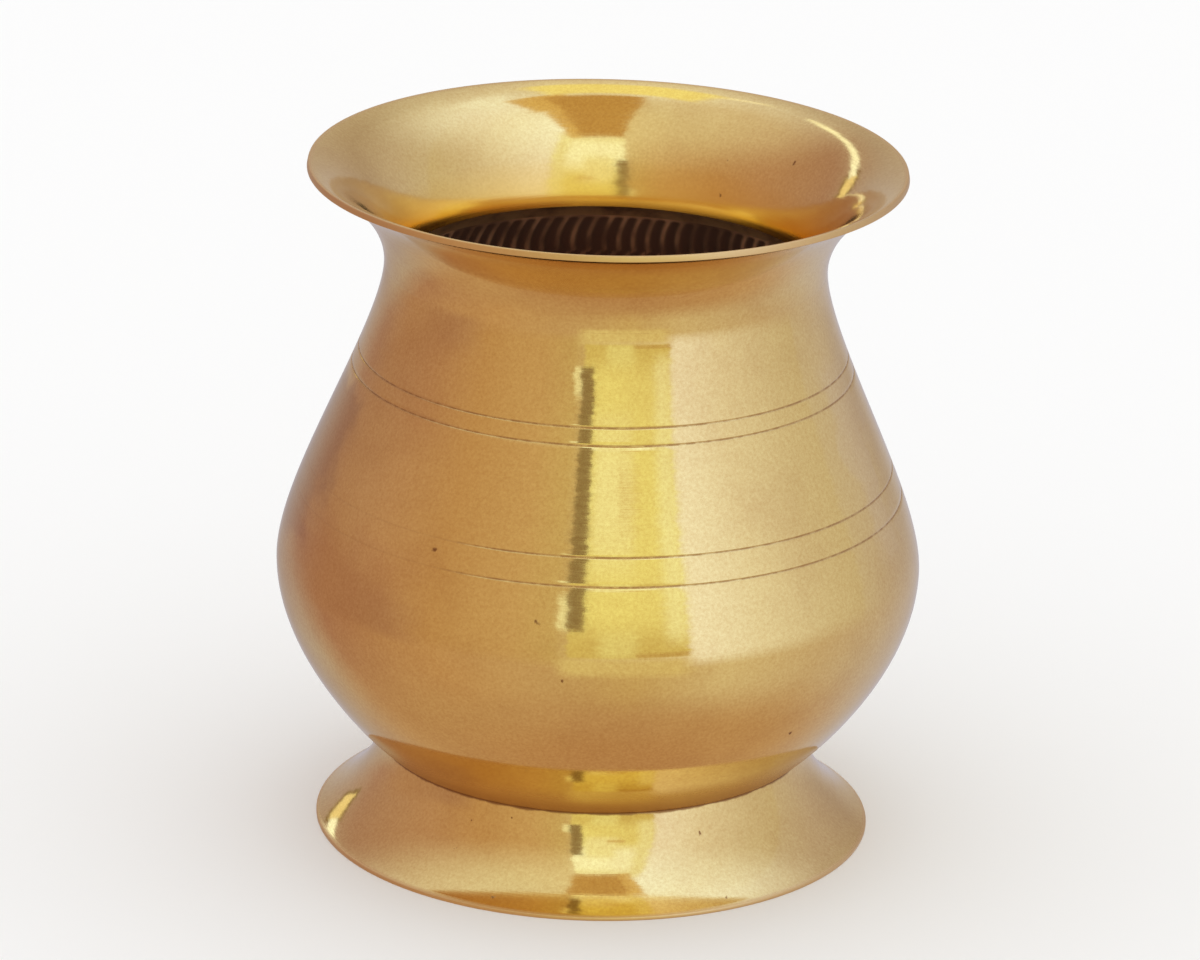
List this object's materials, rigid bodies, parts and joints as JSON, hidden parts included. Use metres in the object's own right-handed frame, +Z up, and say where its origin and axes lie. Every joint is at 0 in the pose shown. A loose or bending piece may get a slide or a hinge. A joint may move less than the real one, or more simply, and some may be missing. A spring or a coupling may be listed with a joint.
{
  "type": "lota",
  "caption": "Round-bellied brass water vessel with a flared mouth, turned lines on its shoulder and a trumpet foot, brazed from beaten shells.",
  "frame": {"origin": "centre of the circle that the foot rests on", "axes": "+Z up along the axis of the vessel"},
  "size_m": [0.1, 0.1, 0.1068],
  "materials": {
    "polished_brass": "satin polish with fine turning marks",
    "beaten_brass": "satin polish outside, dark and hammered inside",
    "brazing_brass": "dull, as run"
  },
  "bodies": {
    "root": {"mouth_and_neck": "polished_brass", "shoulder_shell": "beaten_brass", "bowl_shell": "beaten_brass", "foot_ring": "polished_brass", "neck_seam_braze": "brazing_brass", "belly_seam_braze": "brazing_brass", "foot_seam_braze": "brazing_brass"}
  },
  "joints": []
}
